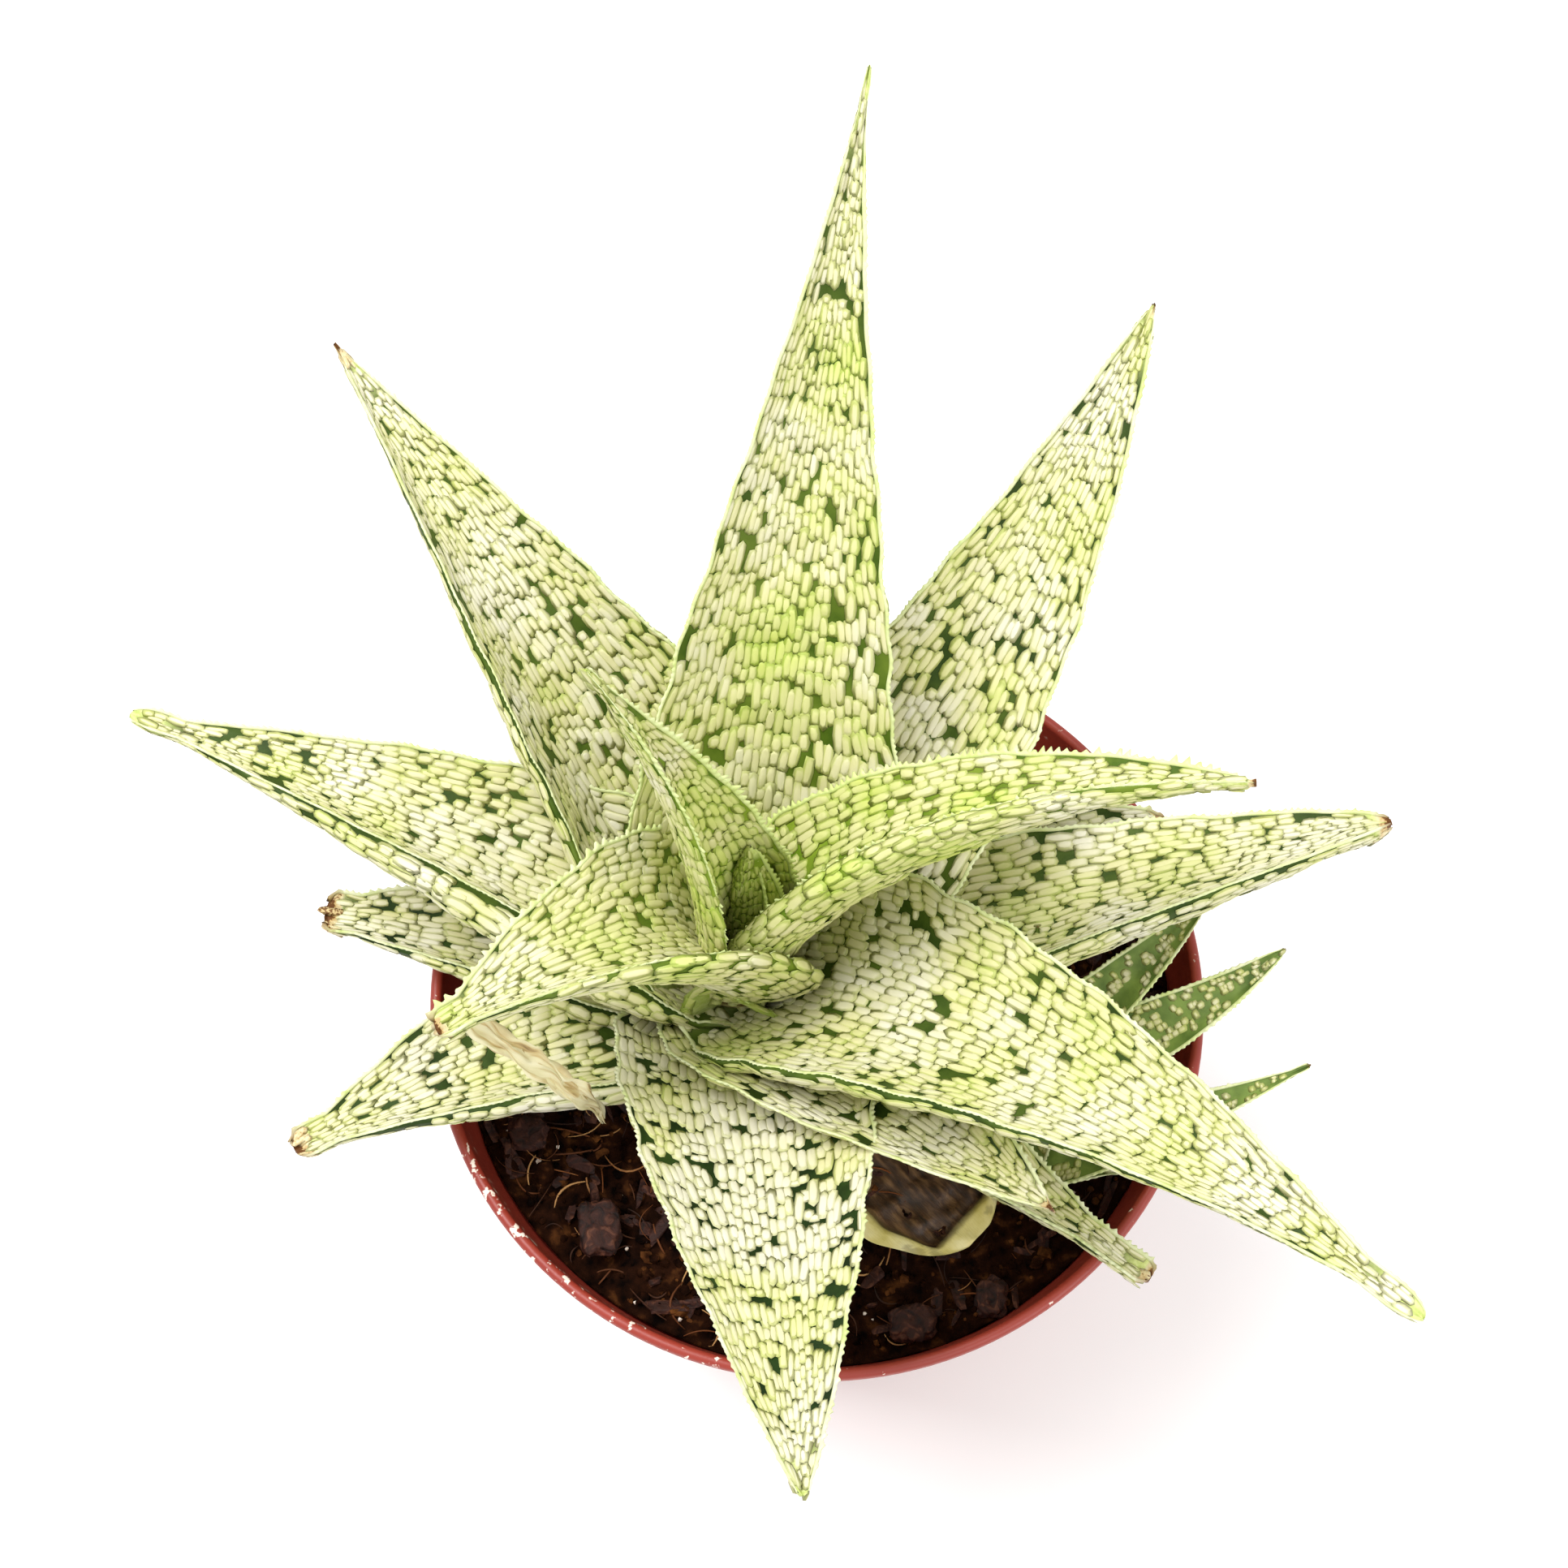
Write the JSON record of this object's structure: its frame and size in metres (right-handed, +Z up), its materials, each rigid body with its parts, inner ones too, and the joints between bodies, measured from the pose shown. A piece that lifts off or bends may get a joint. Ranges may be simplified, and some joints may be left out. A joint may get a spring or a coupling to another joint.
{
  "type": "potted aloe plant",
  "caption": "White-spotted aloe rosette with tapering toothed leaves and small offsets, growing in potting mix in a tapered round plastic nursery pot with a rolled rim.",
  "frame": {"origin": "centre of the pot's flat underside, on the surface it stands on", "axes": "+Z up along the pot's axis; -Y is the front, the side of the bare potting mix; +X is the side of the offsets"},
  "size_m": [0.1829, 0.1597, 0.2221],
  "materials": {
    "pot_plastic": "satin",
    "potting_mix": "matte",
    "bark": "matte",
    "stem": "matte",
    "spotted_leaf": "satin",
    "young_leaf": "satin",
    "offset_leaf": "satin",
    "dying_leaf": "matte"
  },
  "bodies": {
    "root": {"bark_chip_front": "bark", "bark_chip_front_left": "bark", "bark_chip_front_middle": "bark", "bark_chip_front_right": "bark", "bark_chip_left": "bark", "bud_leaf_inner": "young_leaf", "bud_leaf_outer": "young_leaf", "leaf_back_left": "spotted_leaf", "leaf_back_right": "spotted_leaf", "leaf_back_tall": "spotted_leaf", "leaf_centre_left": "spotted_leaf", "leaf_front": "spotted_leaf", "leaf_front_hidden": "spotted_leaf", "leaf_front_left_folded": "spotted_leaf", "leaf_front_left_low": "spotted_leaf", "leaf_front_right": "spotted_leaf", "leaf_front_right_low": "spotted_leaf", "leaf_left": "spotted_leaf", "leaf_left_short": "spotted_leaf", "leaf_right": "spotted_leaf", "leaf_right_short": "spotted_leaf", "leaf_right_upper": "spotted_leaf", "old_leaf_base": "dying_leaf", "pot": "pot_plastic", "potting_mix": "potting_mix", "pup_a_leaf_back": "offset_leaf", "pup_a_leaf_right": "offset_leaf", "pup_a_leaf_upper": "offset_leaf", "pup_a_stem": "stem", "pup_b_leaf_back": "offset_leaf", "pup_b_leaf_low": "offset_leaf", "pup_b_leaf_right": "offset_leaf", "pup_b_stem": "stem", "stem": "stem"}
  },
  "joints": []
}
